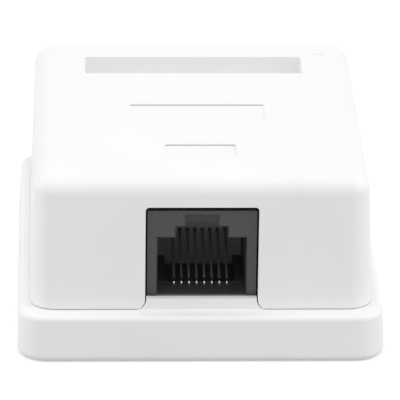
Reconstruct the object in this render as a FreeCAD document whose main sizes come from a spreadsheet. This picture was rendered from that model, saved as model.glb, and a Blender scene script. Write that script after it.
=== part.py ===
import FreeCAD, Part
import math
import os
import re

import Sketcher

# A single port surface mount jack box: a shallow moulded base that is stuck or screwed to a wall,
# a drafted cover that snaps down over it, and an 8-way modular jack on a small circuit board whose
# mouth looks out through the front of the cover.
# +X right, +Y back, +Z out from the wall. The origin is the middle of the base's underside.

doc = FreeCAD.newDocument("JackBox")

# ---------------------------------------------------------------- driving dimensions (mm, degrees)

SIZES = {
    # base
    "base_width": 49.0,
    "base_length": 58.2,
    "base_height": 6.5,
    "base_corner": 3.9,
    "base_draft": 2.5,
    "base_foot_round": 0.9,
    "ledge_round": 0.75,
    "base_floor": 2.0,
    "skirt_wall": 2.0,
    "tray_wall": 1.7,
    "tray_corner": 2.0,
    "ledge_plate": 2.0,
    "rim_wall": 1.2,
    "rim_height": 1.6,
    "rim_clearance": 0.2,
    # lip that closes the foot of the jack opening
    "lip_height": 1.6,
    "lip_thickness": 0.9,
    "lip_setback": 0.05,
    "lip_clearance": 0.16,
    "flare_radius": 1.4,
    # cover
    "ledge_side": 1.7,
    "ledge_end": 2.7,
    "cover_height": 18.5,
    "cover_corner": 3.4,
    "cover_draft": 2.1,
    "cover_round": 2.5,
    "cover_wall": 2.0,
    "seam_gap": 0.12,
    "seam_depth": 1.0,
    "opening_gap": 0.25,
    "opening_head": 0.7,
    "opening_corner": 0.5,
    "guide_rib": 1.0,
    "guide_depth": 2.4,
    "guide_clearance": 0.3,
    # label pocket, panels and gate mark in the cover's top
    "pocket_width": 30.4,
    "pocket_length": 6.3,
    "pocket_depth": 3.0,
    "pocket_floor": 1.2,
    "pocket_inset": 10.7,
    "pocket_corner": 0.3,
    "panel_depth": 0.25,
    "panel_width": 18.5,
    "panel_length": 6.0,
    "panel_centre": -2.0,
    "tab_width": 9.6,
    "tab_length": 4.6,
    "tab_inset": 10.6,
    "gate_side_inset": 5.1,
    "gate_end_inset": 7.0,
    "gate_radius": 0.8,
    "gate_depth": 0.12,
    # snap tongues and the catches in the cover
    "tongue_thickness": 1.1,
    "tongue_width": 6.0,
    "tongue_gap": 0.4,
    "tongue_along": -12.0,
    "tongue_height": 10.2,
    "nose_drop": 2.3,
    "nose_land": 0.4,
    "catch_width": 8.0,
    "catch_height": 0.9,
    "catch_below_nose": 0.1,
    "catch_proud": 0.45,
    "snap_clearance": 0.05,
    # cable ways
    "cable_notch_width": 7.0,
    "cable_notch_height": 6.0,
    "cable_notch_round": 3.0,
    "cable_hole_width": 10.0,
    "cable_hole_length": 6.0,
    "cable_hole_inset": 5.5,
    "cable_hole_corner": 1.0,
    # fixing to the wall
    "wall_screw_inset": 3.4,
    "wall_screw_along": 0.0,
    "wall_screw_hole": 4.2,
    "tape_width": 24.0,
    "tape_length": 32.0,
    "tape_centre": -5.0,
    "tape_thickness": 0.8,
    "tape_corner": 1.5,
    "tape_clearance": 0.1,
    # circuit board and its supports
    "board_thickness": 1.6,
    "board_width": 24.6,
    "board_tail": 5.3,
    "board_clearance": 0.3,
    "board_corner": 0.8,
    "post_radius": 2.2,
    "post_side_inset": 2.8,
    "post_end_inset": 2.3,
    "rest_inset": 3.2,
    "rest_width": 4.4,
    "rest_thickness": 1.2,
    "screw_radius": 0.95,
    "screw_clearance": 0.05,
    "screw_hole_radius": 1.2,
    "screw_length": 3.6,
    "screw_head_radius": 1.9,
    "screw_head_height": 1.3,
    "screw_recess": 0.5,
    "screw_recess_length": 2.0,
    "screw_recess_depth": 0.7,
    # modular jack
    "jack_cheek": 1.35,
    "jack_depth": 18.5,
    "jack_roof": 0.7,
    "jack_setback": 1.1,
    "jack_floor": 1.7,
    "mouth_width": 11.8,
    "mouth_height": 8.2,
    "mouth_depth": 13.0,
    "mouth_bevel": 0.17,
    "latch_width": 6.95,
    "latch_step": 1.6,
    "lever_width": 4.3,
    "lever_step": 1.6,
    "keeper_thickness": 1.4,
    "latch_depth": 5.5,
    "floor_depth": 4.1,
    "floor_bead": 0.12,
    "well_width": 9.2,
    "well_floor": 0.5,
    "slot_width": 0.5,
    "slot_depth": 0.85,
    "peg_radius": 0.8,
    "peg_inset": 1.45,
    "peg_setback": 10.3,
    "peg_clearance": 0.1,
    # contacts and the carrier that holds them
    "contact_pitch": 1.016,
    "wire_width": 0.34,
    "wire_thickness": 0.3,
    "wire_bend": 0.6,
    "wire_entry": 5.5,
    "wire_nose_depth": 0.6,
    "wire_nose_rise": 0.06,
    "wire_nose_drop": 1.0,
    "carrier_clearance": 0.1,
    "carrier_web": 1.6,
    "channel_clearance": 0.08,
    "tail_row": 2.2,
    "tail_stagger": 1.27,
    "tail_length": 1.0,
    "tail_window": 0.54,
    # wire blocks, their terminals and caps
    "block_width": 6.0,
    "block_length": 12.6,
    "block_height": 8.0,
    "block_inset": 4.7,
    "block_gap": 1.9,
    "block_slot_pitch": 2.8,
    "block_slot_width": 1.0,
    "block_slot_depth": 4.6,
    "block_bevel": 0.8,
    "terminal_thickness": 0.5,
    "terminal_width": 2.1,
    "terminal_height": 4.6,
    "terminal_seat": 1.9,
    "terminal_slit": 0.4,
    "terminal_slit_depth": 3.0,
    "terminal_tail": 0.6,
    "terminal_clearance": 0.1,
    "cap_wall": 0.9,
    "cap_clearance": 0.15,
    "cap_skirt": 2.6,
    "cap_notch": 1.5,
    "cap_notch_height": 1.4,
}

# Places that follow from the driving dimensions.
PLACES = {
    "half_base_width": "base_width / 2",
    "half_base_length": "base_length / 2",
    "half_cover_width": "half_base_width - ledge_side",
    "half_cover_length": "half_base_length - ledge_end",
    "inside_x": "half_cover_width - cover_wall",
    "inside_y": "half_cover_length - cover_wall",
    "rim_x": "inside_x - rim_clearance",
    "rim_y": "inside_y - rim_clearance",
    "tray_x": "rim_x - rim_wall",
    "tray_y": "rim_y - rim_wall",
    "ring_inner_x": "tray_x + tray_wall",
    "ring_inner_y": "tray_y + tray_wall",
    "ring_outer_x": "half_base_width - skirt_wall",
    "ring_outer_y": "half_base_length - skirt_wall",
    "cover_top": "base_height + cover_height",
    "ceiling": "cover_top - cover_wall",
    "half_opening": "half_jack + opening_gap",
    "opening_top": "jack_top + opening_head",
    "half_lip": "half_opening - lip_clearance",
    "lip_front": "half_cover_length - lip_setback",
    "jack_face": "jack_setback - half_cover_length",
    "jack_back": "jack_face + jack_depth",
    "half_jack": "mouth_width / 2 + jack_cheek",
    "mouth_floor": "base_height + jack_floor",
    "mouth_top": "mouth_floor + mouth_height",
    "latch_top": "mouth_top + latch_step",
    "lever_top": "latch_top + lever_step",
    "jack_top": "lever_top + jack_roof",
    "mouth_back": "jack_face + mouth_depth",
    "floor_edge": "jack_face + floor_depth",
    "well_bottom": "base_height + well_floor",
    "board_under": "base_height - board_thickness",
    "half_board": "board_width / 2",
    "board_front": "board_clearance - tray_y",
    "board_rear": "jack_back + block_gap + block_length + board_tail",
    "post_across": "half_board - post_side_inset",
    "post_along": "board_rear - post_end_inset",
    "rest_along": "board_front + rest_inset",
    "peg_across": "half_jack - peg_inset",
    "peg_along": "jack_face + peg_setback",
    "block_across": "half_board - block_inset",
    "block_along": "jack_back + block_gap + block_length / 2",
    "wall_screw_across": "tray_x - wall_screw_inset",
    "cable_hole_centre": "tray_y - cable_hole_inset",
    "pocket_centre": "half_cover_length - pocket_inset",
    "tab_centre": "tab_inset - half_cover_length",
    "gate_across": "half_cover_width - gate_side_inset",
    "gate_along": "half_cover_length - gate_end_inset",
    "carrier_front": "mouth_back + carrier_clearance",
    "tail_end": "board_under - tail_length",
    "channel_half": "wire_width / 2 + channel_clearance",
    "tongue_outer": "tray_x - tongue_gap",
    "tongue_inner": "tongue_outer - tongue_thickness",
    "tongue_top": "base_floor + tongue_height",
    "nose_under": "tongue_top - nose_drop",
    "nose_reach": "inside_x - catch_proud - snap_clearance",
    "catch_top": "nose_under - catch_below_nose",
    "block_top": "base_height + block_height",
    "cap_top": "block_top + cap_clearance + cap_wall",
}

sheet = doc.addObject("Spreadsheet::Sheet", "Sizes")
for row, (name, number) in enumerate(SIZES.items(), start=1):
    sheet.set("A%d" % row, name)
    sheet.set("B%d" % row, str(number))
    sheet.setAlias("B%d" % row, name)
doc.recompute()

WORD = re.compile(r"[a-z][a-z_]*[a-z]")
SIDES = (("left", "-"), ("right", ""))
FIRST_WIRE = "-3.5 * contact_pitch"
HALF_TAIL = "(terminal_tail / 2 + terminal_clearance)"


def bound(text):
    """An expression on the sheet's cells, from one written in the names of sizes and places."""

    def named(match):
        word = match.group(0)
        if word in SIZES:
            return "Sizes." + word
        if word in PLACES:
            return "(" + bound(PLACES[word]) + ")"
        return word

    return WORD.sub(named, text)


def value(text):
    """The number that an expression on the sizes comes to now."""
    return float(sheet.evalExpression(bound(text)))


# ---------------------------------------------------------------- features shared by the pieces


def new_body(label):
    body = doc.addObject("PartDesign::Body", label)
    body.Label = label
    return body


def origin_part(body, role):
    return next(item for item in body.Origin.OriginFeatures if item.Role == role)


def new_sketch(body, name, role, height="0"):
    """A sketch on one of the body's origin planes, shifted along that plane's normal."""
    sketch = body.newObject("Sketcher::SketchObject", name)
    sketch.AttachmentSupport = [(origin_part(body, role), "")]
    sketch.MapMode = "FlatFace"
    sketch.setExpression(".AttachmentOffset.Base.z", bound(height))
    return sketch


def datum(sketch, kind, *where, text):
    """A dimension of a sketch, bound to an expression on the sizes."""
    index = sketch.addConstraint(Sketcher.Constraint(kind, *where, value(text)))
    sketch.setExpression("Constraints[%d]" % index, bound(text))


def trace(sketch, stops):
    """A closed outline. A stop is (x, y), or (x, y, radius, turn) where an arc leads to it that
    turns left (1) or right (-1)."""
    first = sketch.GeometryCount
    points = [FreeCAD.Vector(value(stop[0]), value(stop[1]), 0) for stop in stops]
    ends = []
    for number, stop in enumerate(stops):
        start = points[number - 1]
        end = points[number]
        if len(stop) == 2:
            sketch.addGeometry(Part.LineSegment(start, end))
            ends.append((1, 2))
            continue
        radius = value(stop[2])
        turn = stop[3]
        chord = end - start
        rise = math.sqrt(max(radius**2 - (chord.Length / 2) ** 2, 0.0))
        side = FreeCAD.Vector(-chord.y, chord.x, 0) * (turn * rise / chord.Length)
        centre = (start + end) * 0.5 + side
        angles = [math.atan2(p.y - centre.y, p.x - centre.x) for p in (start, end)]
        if turn < 0:
            angles.reverse()
        circle = Part.Circle(centre, FreeCAD.Vector(0, 0, 1), radius)
        sketch.addGeometry(Part.ArcOfCircle(circle, angles[0], angles[1]))
        ends.append((1, 2) if turn > 0 else (2, 1))
    for number, stop in enumerate(stops):
        here = first + number
        after = first + (number + 1) % len(stops)
        end = ends[number][1]
        begin = ends[after - first][0]
        sketch.addConstraint(Sketcher.Constraint("Coincident", here, end, after, begin))
        datum(sketch, "DistanceX", -1, 1, here, end, text=stop[0])
        datum(sketch, "DistanceY", -1, 1, here, end, text=stop[1])
        if len(stop) > 2:
            datum(sketch, "Radius", here, text=stop[2])


def rounded(half_x, half_y, radius, middle_x="0", middle_y="0"):
    """The stops of a rectangle with round corners."""
    radius = f"({radius})"
    left = f"{middle_x} - ({half_x})"
    right = f"{middle_x} + {half_x}"
    low = f"{middle_y} - ({half_y})"
    high = f"{middle_y} + {half_y}"
    return [
        (f"{right} - {radius}", low),
        (right, f"{low} + {radius}", radius, 1),
        (right, f"{high} - {radius}"),
        (f"{right} - {radius}", high, radius, 1),
        (f"{left} + {radius}", high),
        (left, f"{high} - {radius}", radius, 1),
        (left, f"{low} + {radius}"),
        (f"{left} + {radius}", low, radius, 1),
    ]


def extrude(body, kind, sketch, length, draft=None, reverse=False, middle=False):
    """A Pad or a Pocket of a sketch."""
    feature = body.newObject("PartDesign::" + kind, sketch.Name + kind)
    feature.Profile = sketch
    feature.setExpression("Length", bound(length))
    feature.Reversed = reverse
    feature.Midplane = middle
    if draft:
        feature.setExpression("TaperAngle", bound(draft))
    return feature


def around(middle, half):
    """The low and high ends of a span that is as wide on both sides of its middle."""
    return (f"{middle} - {half}", f"{middle} + {half}")


def box(body, name, x, y, z, cut=False):
    """A block from the low to the high end of x, y and z, added to the body or cut from it."""
    kind = "SubtractiveBox" if cut else "AdditiveBox"
    feature = body.newObject("PartDesign::" + kind, name)
    for (low, high), place, length in zip((x, y, z), "xyz", ("Length", "Width", "Height")):
        feature.setExpression(length, bound(f"({high}) - ({low})"))
        feature.setExpression("Placement.Base." + place, bound(low))
    return feature


def cylinder(body, name, x, y, radius, z, cut=False):
    """An upright cylinder from the low to the high end of z, added to the body or cut from it."""
    kind = "SubtractiveCylinder" if cut else "AdditiveCylinder"
    feature = body.newObject("PartDesign::" + kind, name)
    feature.setExpression("Radius", bound(radius))
    feature.setExpression("Height", bound(f"({z[1]}) - ({z[0]})"))
    for place, text in zip("xyz", (x, y, z[0])):
        feature.setExpression("Placement.Base." + place, bound(text))
    return feature


def edges(feature, keep):
    """Names of a feature's edges whose box passes the test."""
    doc.recompute()
    names = []
    for number, edge in enumerate(feature.Shape.Edges, start=1):
        if keep(edge.BoundBox):
            names.append("Edge%d" % number)
    if not names:
        raise RuntimeError("no edge to work on in " + feature.Label)
    return names


def finish_edges(body, kind, feature, keep, text):
    """A Fillet or Chamfer on the edges of a feature that pass the test."""
    finished = body.newObject("PartDesign::" + kind, feature.Name + kind)
    finished.Base = (feature, edges(feature, keep))
    finished.setExpression("Radius" if kind == "Fillet" else "Size", bound(text))
    return finished


def repeat_across(body, feature, name, pitch, count):
    """Copies of a feature in a row along X."""
    pattern = body.newObject("PartDesign::LinearPattern", name)
    pattern.Originals = [feature]
    pattern.Direction = (origin_part(body, "X_Axis"), [""])
    pattern.setExpression("Length", bound(f"{pitch} * {count - 1}"))
    pattern.Occurrences = count
    body.Tip = pattern
    return pattern


def mirror_across(body, feature, name):
    """The same feature on the other side of the middle plane."""
    mirror = body.newObject("PartDesign::Mirrored", name)
    mirror.Originals = [feature]
    mirror.MirrorPlane = (origin_part(body, "YZ_Plane"), [""])
    body.Tip = mirror
    return mirror


def level(bounds, text, tolerance=0.01):
    """Whether an edge lies flat at a height."""
    height = value(text)
    return abs(bounds.ZMin - height) < tolerance and abs(bounds.ZMax - height) < tolerance


def upright(bounds):
    """Whether an edge stands straight up."""
    return bounds.XLength < 0.01 and bounds.YLength < 0.01


# ---------------------------------------------------------------- base


def make_base():
    """The moulded tray: drafted skirt, ledge for the cover's foot, rim inside the cover, board
    rests and posts, snap tongues, cable hole, wall screw holes, tape recess and the coring under
    the ledge."""
    body = new_body("base")
    outline = new_sketch(body, "skirt_outline", "XY_Plane")
    trace(outline, rounded("half_base_width", "half_base_length", "base_corner"))
    skirt = extrude(body, "Pad", outline, "base_height", draft="-base_draft")
    foot = finish_edges(body, "Fillet", skirt, lambda b: level(b, "0"), "base_foot_round")
    finish_edges(body, "Fillet", foot, lambda b: level(b, "base_height"), "ledge_round")

    tray = new_sketch(body, "tray", "XY_Plane", "base_height")
    trace(tray, rounded("tray_x", "tray_y", "tray_corner"))
    extrude(body, "Pocket", tray, "base_height - base_floor")

    coring = new_sketch(body, "coring", "XY_Plane")
    trace(coring, rounded("ring_outer_x", "ring_outer_y", "tray_corner"))
    trace(coring, rounded("ring_inner_x", "ring_inner_y", "tray_corner"))
    extrude(body, "Pocket", coring, "base_height - ledge_plate", reverse=True)

    rim = new_sketch(body, "rim", "XY_Plane", "base_height")
    trace(rim, rounded("rim_x", "rim_y", "tray_corner"))
    trace(rim, rounded("tray_x", "tray_y", "tray_corner"))
    extrude(body, "Pad", rim, "rim_height")
    across = ("-half_opening", "half_opening")
    rim_span = ("base_height", "base_height + rim_height + 1")
    box(body, "jack_gap", across, ("-rim_y - 1", "1 - tray_y"), rim_span, True)
    across = ("-cable_notch_width / 2", "cable_notch_width / 2")
    box(body, "cable_gap", across, ("tray_y - 1", "rim_y + 1"), rim_span, True)

    lip = new_sketch(body, "lip", "XZ_Plane", "lip_front")
    lip_top = "base_height + lip_height"
    trace(lip, [
        ("half_lip + flare_radius", "base_height"),
        ("half_lip", "base_height + flare_radius", "flare_radius", -1),
        ("half_lip", lip_top),
        ("-half_lip", lip_top),
        ("-half_lip", "base_height + flare_radius"),
        ("-half_lip - flare_radius", "base_height", "flare_radius", -1),
    ])
    extrude(body, "Pad", lip, "lip_thickness", reverse=True)

    tongue = new_sketch(body, "tongue", "XZ_Plane", "-tongue_along")
    trace(tongue, [
        ("tongue_inner", "base_floor"),
        ("tongue_outer", "base_floor"),
        ("tongue_outer", "nose_under"),
        ("nose_reach", "nose_under"),
        ("nose_reach", "nose_under + nose_land"),
        ("tongue_outer", "tongue_top"),
        ("tongue_inner", "tongue_top"),
    ])
    right_tongue = extrude(body, "Pad", tongue, "tongue_width", middle=True)
    mirror_across(body, right_tongue, "tongues")

    under_board = ("base_floor", "board_under")
    pilot_radius = "screw_radius + screw_clearance"
    pilot_span = ("base_height - screw_length - 0.2", "board_under + 1")
    for side, sign in SIDES:
        across = sign + "post_across"
        box(body, "board_rest_" + side, around(across, "rest_width / 2"),
            around("rest_along", "rest_thickness / 2"), under_board)
        cylinder(body, "post_" + side, across, "post_along", "post_radius", under_board)
        cylinder(body, "pilot_" + side, across, "post_along", pilot_radius, pilot_span, True)
        cylinder(body, "wall_hole_" + side, sign + "wall_screw_across", "wall_screw_along",
                 "wall_screw_hole / 2", ("-1", "base_floor + 1"), True)

    cable = new_sketch(body, "cable_hole", "XY_Plane", "base_floor")
    half_x = "cable_hole_width / 2"
    half_y = "cable_hole_length / 2"
    trace(cable, rounded(half_x, half_y, "cable_hole_corner", "0", "cable_hole_centre"))
    extrude(body, "Pocket", cable, "base_floor")
    tape = new_sketch(body, "tape_recess", "XY_Plane")
    half_x = "tape_width / 2 + tape_clearance"
    half_y = "tape_length / 2 + tape_clearance"
    trace(tape, rounded(half_x, half_y, "tape_corner", "0", "tape_centre"))
    extrude(body, "Pocket", tape, "tape_thickness", reverse=True)
    return body


# ---------------------------------------------------------------- cover


def make_cover():
    """The moulded shell: drafted walls, soft top edges, a foot whose outer half stands off the ledge
    as a fine seam, jack opening with rounded feet, cable notch at the back, label pocket and the
    shallow panels in the top, catches and jack guides inside."""
    body = new_body("cover")
    outline = new_sketch(body, "cover_outline", "XY_Plane", "base_height")
    trace(outline, rounded("half_cover_width", "half_cover_length", "cover_corner"))
    shell = extrude(body, "Pad", outline, "cover_height", draft="-cover_draft")
    finish_edges(body, "Fillet", shell, lambda b: level(b, "cover_top"), "cover_round")

    cavity = new_sketch(body, "cavity", "XY_Plane", "base_height")
    trace(cavity, rounded("inside_x", "inside_y", "cover_corner - cover_wall"))
    extrude(body, "Pocket", cavity, "cover_height - cover_wall", reverse=True)

    half_boss_x = "(pocket_width / 2 + pocket_floor)"
    half_boss_y = "(pocket_length / 2 + pocket_floor)"
    box(body, "pocket_boss", around("0", half_boss_x), around("pocket_centre", half_boss_y),
        ("cover_top - pocket_depth - pocket_floor", "ceiling + cover_wall / 2"))
    recesses = (
        ("label_pocket", "pocket", "pocket_depth"),
        ("panel", "panel", "panel_depth"),
        ("tab", "tab", "panel_depth"),
    )
    for name, size, depth in recesses:
        recess = new_sketch(body, name, "XY_Plane", "cover_top")
        half_x = size + "_width / 2"
        half_y = size + "_length / 2"
        trace(recess, rounded(half_x, half_y, "pocket_corner", "0", size + "_centre"))
        extrude(body, "Pocket", recess, depth)
    gate_span = ("cover_top - gate_depth", "cover_top + 1")
    cylinder(body, "gate_mark", "gate_across", "gate_along", "gate_radius", gate_span, True)

    guide_middle = "(half_jack + guide_clearance + guide_rib / 2)"
    for side, sign in SIDES:
        box(body, "guide_" + side, around(sign + guide_middle, "guide_rib / 2"),
            ("-inside_y - cover_wall / 2", "guide_depth - inside_y"),
            ("base_height + rim_height + 0.3", "opening_top"))

    opening = new_sketch(body, "opening", "XZ_Plane", "half_cover_length + 1")
    trace(opening, [
        ("half_opening", "base_height"),
        ("half_opening", "opening_top - opening_corner"),
        ("half_opening - opening_corner", "opening_top", "opening_corner", 1),
        ("opening_corner - half_opening", "opening_top"),
        ("-half_opening", "opening_top - opening_corner", "opening_corner", 1),
        ("-half_opening", "base_height"),
    ])
    mouth = extrude(body, "Pocket", opening, "cover_wall + 2")

    def opening_foot(b):
        across = abs(abs(b.XMin) - value("half_opening")) < 0.01 and b.XLength < 0.01
        return across and level(b, "base_height") and b.YMax < 0

    finish_edges(body, "Fillet", mouth, opening_foot, "flare_radius")

    seam = new_sketch(body, "seam", "XY_Plane", "base_height")
    trace(seam, rounded("half_cover_width + 1", "half_cover_length + 1", "cover_corner"))
    trace(seam, rounded("half_cover_width - seam_depth", "half_cover_length - seam_depth",
                        "cover_corner - seam_depth"))
    extrude(body, "Pocket", seam, "seam_gap", reverse=True)

    notch = new_sketch(body, "cable_notch", "XZ_Plane", "-inside_y + 1")
    notch_top = "base_height + cable_notch_height"
    trace(notch, [
        ("cable_notch_width / 2", "base_height"),
        ("cable_notch_width / 2", notch_top + " - cable_notch_round"),
        ("cable_notch_width / 2 - cable_notch_round", notch_top, "cable_notch_round", 1),
        ("cable_notch_round - cable_notch_width / 2", notch_top),
        ("-cable_notch_width / 2", notch_top + " - cable_notch_round", "cable_notch_round", 1),
        ("-cable_notch_width / 2", "base_height"),
    ])
    extrude(body, "Pocket", notch, "cover_wall + 3")

    catch = box(body, "catch_right", ("nose_reach + snap_clearance", "inside_x + cover_wall / 2"),
                around("tongue_along", "catch_width / 2"), ("catch_top - catch_height", "catch_top"))
    mirror_across(body, catch, "catches")
    return body


# ---------------------------------------------------------------- modular jack


def make_jack_housing():
    """The black shell of the jack: plug cavity with latch and lever steps, keeper wall, front floor
    with a bead along its edge and a slot for each wire, wire well, carrier bay and the pegs that
    locate it on the board."""
    body = new_body("jack_housing")
    box(body, "jack_block", around("0", "half_jack"), ("jack_face", "jack_back"),
        ("base_height", "jack_top"))

    mouth = new_sketch(body, "mouth", "XZ_Plane", "-jack_face")
    trace(mouth, [
        ("mouth_width / 2", "mouth_floor"),
        ("mouth_width / 2", "mouth_top"),
        ("latch_width / 2", "mouth_top"),
        ("latch_width / 2", "latch_top"),
        ("lever_width / 2", "latch_top"),
        ("lever_width / 2", "lever_top"),
        ("-lever_width / 2", "lever_top"),
        ("-lever_width / 2", "latch_top"),
        ("-latch_width / 2", "latch_top"),
        ("-latch_width / 2", "mouth_top"),
        ("-mouth_width / 2", "mouth_top"),
        ("-mouth_width / 2", "mouth_floor"),
    ])
    aperture = extrude(body, "Pocket", mouth, "keeper_thickness")

    def mouth_edge(b):
        at_face = abs(b.YMin - value("jack_face")) < 0.01 and b.YLength < 0.01
        inside = max(abs(b.XMin), abs(b.XMax)) < value("half_jack") - 0.1
        low_enough = b.ZMax < value("jack_top") - 0.1
        high_enough = b.ZMin > value("base_height") + 0.1
        return at_face and inside and low_enough and high_enough

    finish_edges(body, "Chamfer", aperture, mouth_edge, "mouth_bevel")
    mouth_span = around("0", "mouth_width / 2")
    box(body, "plug_cavity", mouth_span, ("jack_face + keeper_thickness / 2", "mouth_back"),
        ("mouth_floor", "mouth_top"), True)
    box(body, "latch_channel", around("0", "latch_width / 2"),
        ("jack_face + keeper_thickness", "jack_face + latch_depth"),
        ("mouth_floor + 1", "lever_top"), True)
    box(body, "carrier_bay", mouth_span, ("mouth_back", "jack_back + 1"),
        ("base_height - 1", "mouth_top"), True)
    box(body, "floor_bead", around("0", "(mouth_width / 2 - floor_bead)"),
        ("floor_edge - floor_bead", "floor_edge"), ("mouth_floor - 0.1", "mouth_floor + floor_bead"))
    well_span = ("well_bottom", "mouth_floor + 1")
    box(body, "wire_well", around("0", "well_width / 2"), ("floor_edge", "mouth_back + 1"),
        well_span, True)
    slot = box(body, "wire_slot", around(FIRST_WIRE, "slot_width / 2"),
               ("floor_edge - slot_depth", "floor_edge + 1"), well_span, True)
    repeat_across(body, slot, "wire_slots", "contact_pitch", 8)
    for side, sign in SIDES:
        cylinder(body, "peg_" + side, sign + "peg_across", "peg_along", "peg_radius",
                 ("board_under - 0.3", "base_height + 0.5"))
    return body


def make_carrier():
    """The insert in the back of the jack: a web with a hole for each wire and a row of channels
    where the wires turn down to the board."""
    body = new_body("contact_carrier")
    box(body, "carrier_block", around("0", "(mouth_width / 2 - carrier_clearance)"),
        ("carrier_front", "jack_back"), ("base_height", "mouth_top - carrier_clearance"))
    hole_top = "base_height + wire_entry + channel_half"
    across = around(FIRST_WIRE, "channel_half")
    channel = box(body, "channel", across, ("carrier_front + carrier_web", "jack_back + 1"),
                  ("base_height - 1", hole_top), True)
    repeat_across(body, channel, "channels", "contact_pitch", 8)
    hole = box(body, "wire_hole", across,
               ("carrier_front - 1", "carrier_front + carrier_web + 0.5"),
               ("base_height + wire_entry - channel_half", hole_top), True)
    repeat_across(body, hole, "wire_holes", "contact_pitch", 8)
    return body


def rounded_run(points, radius):
    """Straight runs and tangent arcs through points of one plane: (kind, start, end, centre)."""
    runs = []
    last = points[0]
    for before, corner, after in zip(points, points[1:], points[2:]):
        into = (corner - before).normalize()
        out = (after - corner).normalize()
        half_turn = into.getAngle(out) / 2
        reach = radius * math.tan(half_turn)
        start = corner - into * reach
        end = corner + out * reach
        centre = corner + (out - into).normalize() * (radius / math.cos(half_turn))
        runs.append(("line", last, start, None))
        runs.append(("arc", start, end, centre))
        last = end
    runs.append(("line", last, points[-1], None))
    return runs


def make_contact(number):
    """One flat spring wire: tail through the board, up the carrier, forward and down over the wire
    well to a short nose that sits in its slot in the cavity's floor."""
    body = new_body("contact_%d" % number)
    across = "%.1f * contact_pitch" % (number - 4.5)
    row = "jack_back - tail_row"
    if number % 2 == 0:
        row += " - tail_stagger"
    entry = "base_height + wire_entry"
    nose_along = "floor_edge - wire_nose_depth"
    nose_top = "mouth_floor + wire_nose_rise"
    nose_end = "mouth_floor - wire_nose_drop"
    corners = [
        (row, "tail_end"),
        (row, entry),
        ("carrier_front - 0.2", entry),
        (nose_along, nose_top),
        (nose_along, nose_end),
    ]
    points = [FreeCAD.Vector(value(y), value(z), 0) for y, z in corners]

    line = new_sketch(body, "wire_line_%d" % number, "YZ_Plane", across)
    runs = rounded_run(points, value("wire_bend"))
    ends = []
    for kind, start, end, centre in runs:
        if kind == "line":
            line.addGeometry(Part.LineSegment(start, end))
            ends.append((1, 2))
            continue
        angles = [math.atan2(p.y - centre.y, p.x - centre.x) for p in (start, end)]
        left = (start - centre).cross(end - centre).z > 0
        if not left:
            angles.reverse()
        circle = Part.Circle(centre, FreeCAD.Vector(0, 0, 1), value("wire_bend"))
        line.addGeometry(Part.ArcOfCircle(circle, angles[0], angles[1]))
        ends.append((1, 2) if left else (2, 1))
    for here in range(len(runs) - 1):
        after = here + 1
        joined = (here, ends[here][1], after, ends[after][0])
        line.addConstraint(Sketcher.Constraint("Tangent", *joined))
    for here in range(1, len(runs), 2):
        datum(line, "Radius", here, text="wire_bend")
    last = len(runs) - 1
    line.addConstraint(Sketcher.Constraint("Vertical", 0))
    line.addConstraint(Sketcher.Constraint("Horizontal", 2))
    line.addConstraint(Sketcher.Constraint("Vertical", last))
    datum(line, "DistanceX", -1, 1, 0, 1, text=row)
    datum(line, "DistanceY", -1, 1, 0, 1, text="tail_end")
    datum(line, "DistanceY", -1, 1, 2, 1, text=entry)
    datum(line, "DistanceX", -1, 1, 2, 2, text="carrier_front - 0.2")
    datum(line, "DistanceX", -1, 1, last, 2, text=nose_along)
    datum(line, "DistanceY", -1, 1, last, 2, text=nose_end)
    datum(line, "DistanceY", -1, 1, last, 1, text=nose_top + " - wire_bend / 2")

    section = new_sketch(body, "wire_section_%d" % number, "XY_Plane", "tail_end")
    trace(section, [
        (across + " + wire_width / 2", row + " - wire_thickness / 2"),
        (across + " + wire_width / 2", row + " + wire_thickness / 2"),
        (across + " - wire_width / 2", row + " + wire_thickness / 2"),
        (across + " - wire_width / 2", row + " - wire_thickness / 2"),
    ])
    pipe = body.newObject("PartDesign::AdditivePipe", "wire_%d" % number)
    pipe.Profile = section
    pipe.Spine = line
    pipe.Mode = "Frenet"
    return body


# ---------------------------------------------------------------- circuit board and wiring


def slot_row(number):
    """Where a wire slot of a block lies along Y, for slots 1 to 4."""
    return "block_along + %.1f * block_slot_pitch" % (number - 2.5)


def make_board():
    """The bare laminate, with holes for its screws and the jack's pegs, and a window for every tail."""
    body = new_body("circuit_board")
    half_length = "(board_rear - board_front) / 2"
    middle = "(board_rear + board_front) / 2"
    outline = new_sketch(body, "board_outline", "XY_Plane", "board_under")
    trace(outline, rounded("half_board", half_length, "board_corner", "0", middle))
    extrude(body, "Pad", outline, "board_thickness")
    through = ("board_under - 1", "base_height + 1")
    holes = [
        ("screw", "post_across", "post_along", "screw_hole_radius"),
        ("peg", "peg_across", "peg_along", "peg_radius + peg_clearance"),
    ]
    for name, across, along, radius in holes:
        for side, sign in SIDES:
            cylinder(body, f"{name}_hole_{side}", sign + across, along, radius, through, True)
    tail_rows = (
        (FIRST_WIRE, "jack_back - tail_row"),
        (FIRST_WIRE + " + contact_pitch", "jack_back - tail_row - tail_stagger"),
    )
    for first, row in tail_rows:
        hole = box(body, "tail_window", around(first, "tail_window / 2"),
                   around(row, "tail_window / 2"), through, True)
        repeat_across(body, hole, "tail_windows", "2 * contact_pitch", 4)
    for side, sign in SIDES:
        for number in range(1, 5):
            box(body, f"terminal_window_{side}_{number}", around(sign + "block_across", HALF_TAIL),
                around(slot_row(number), HALF_TAIL), through, True)
    return body


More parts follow.
